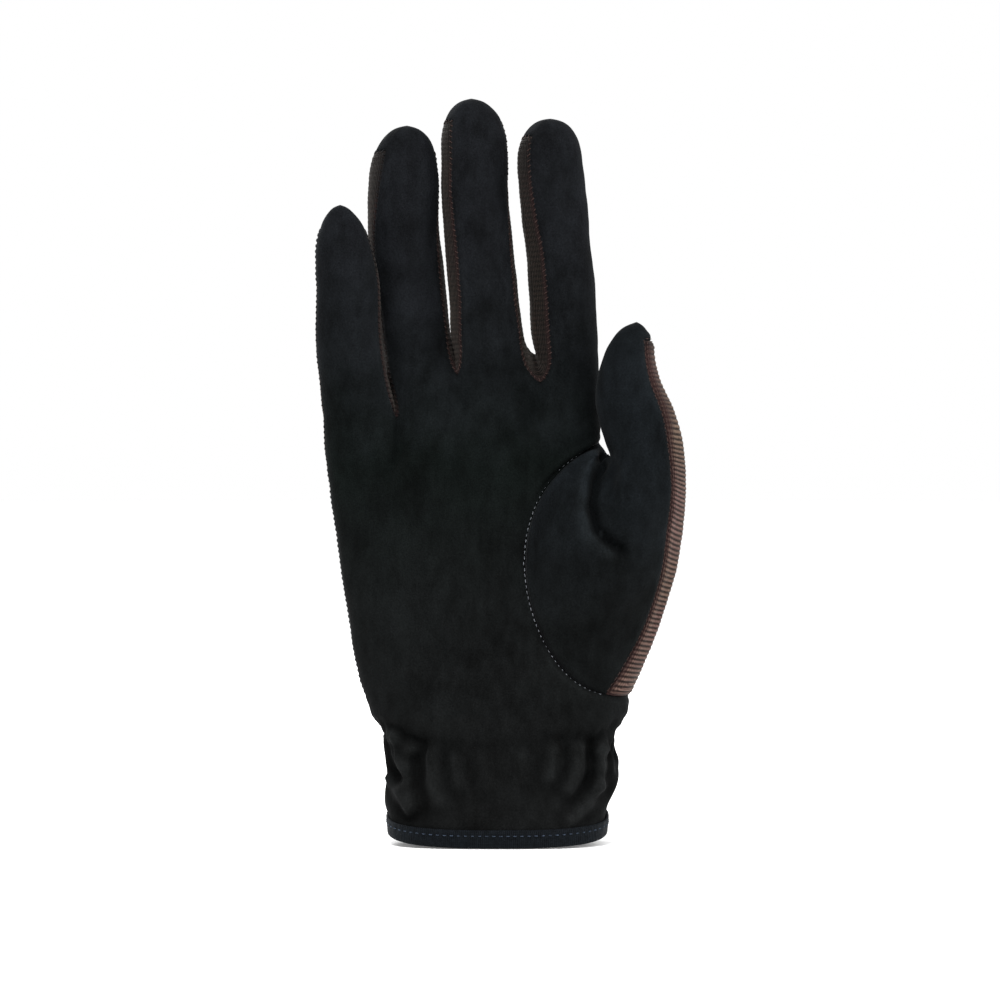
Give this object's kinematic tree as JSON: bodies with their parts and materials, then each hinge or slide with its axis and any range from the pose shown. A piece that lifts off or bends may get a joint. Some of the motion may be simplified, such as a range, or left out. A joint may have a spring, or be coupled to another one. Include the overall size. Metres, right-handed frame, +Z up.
{
  "type": "horse riding glove",
  "caption": "Right-hand riding glove filled out as on a hand: suede palm, ribbed stretch back and finger sides, gusseted thumb, gathered cuff and bound hem.",
  "frame": {"origin": "centre of the wrist opening, level with the lowest point of the hem at the palm side", "axes": "+Z up from the wrist to the fingertips, -Y out of the palm, +X towards the thumb"},
  "size_m": [0.1139, 0.0485, 0.2303],
  "materials": {
    "suede": "matte napped microsuede",
    "ribbed_knit": "ribbed stretch fabric",
    "binding": "woven bias binding"
  },
  "bodies": {
    "root": {"palm_panel": "suede", "cuff_back": "suede", "thumb_front": "suede", "back_panel": "ribbed_knit", "thumb_back": "ribbed_knit", "fourchette_little_ring": "ribbed_knit", "fourchette_ring_middle": "ribbed_knit", "fourchette_middle_index": "ribbed_knit", "hem_binding": "binding"}
  },
  "joints": []
}
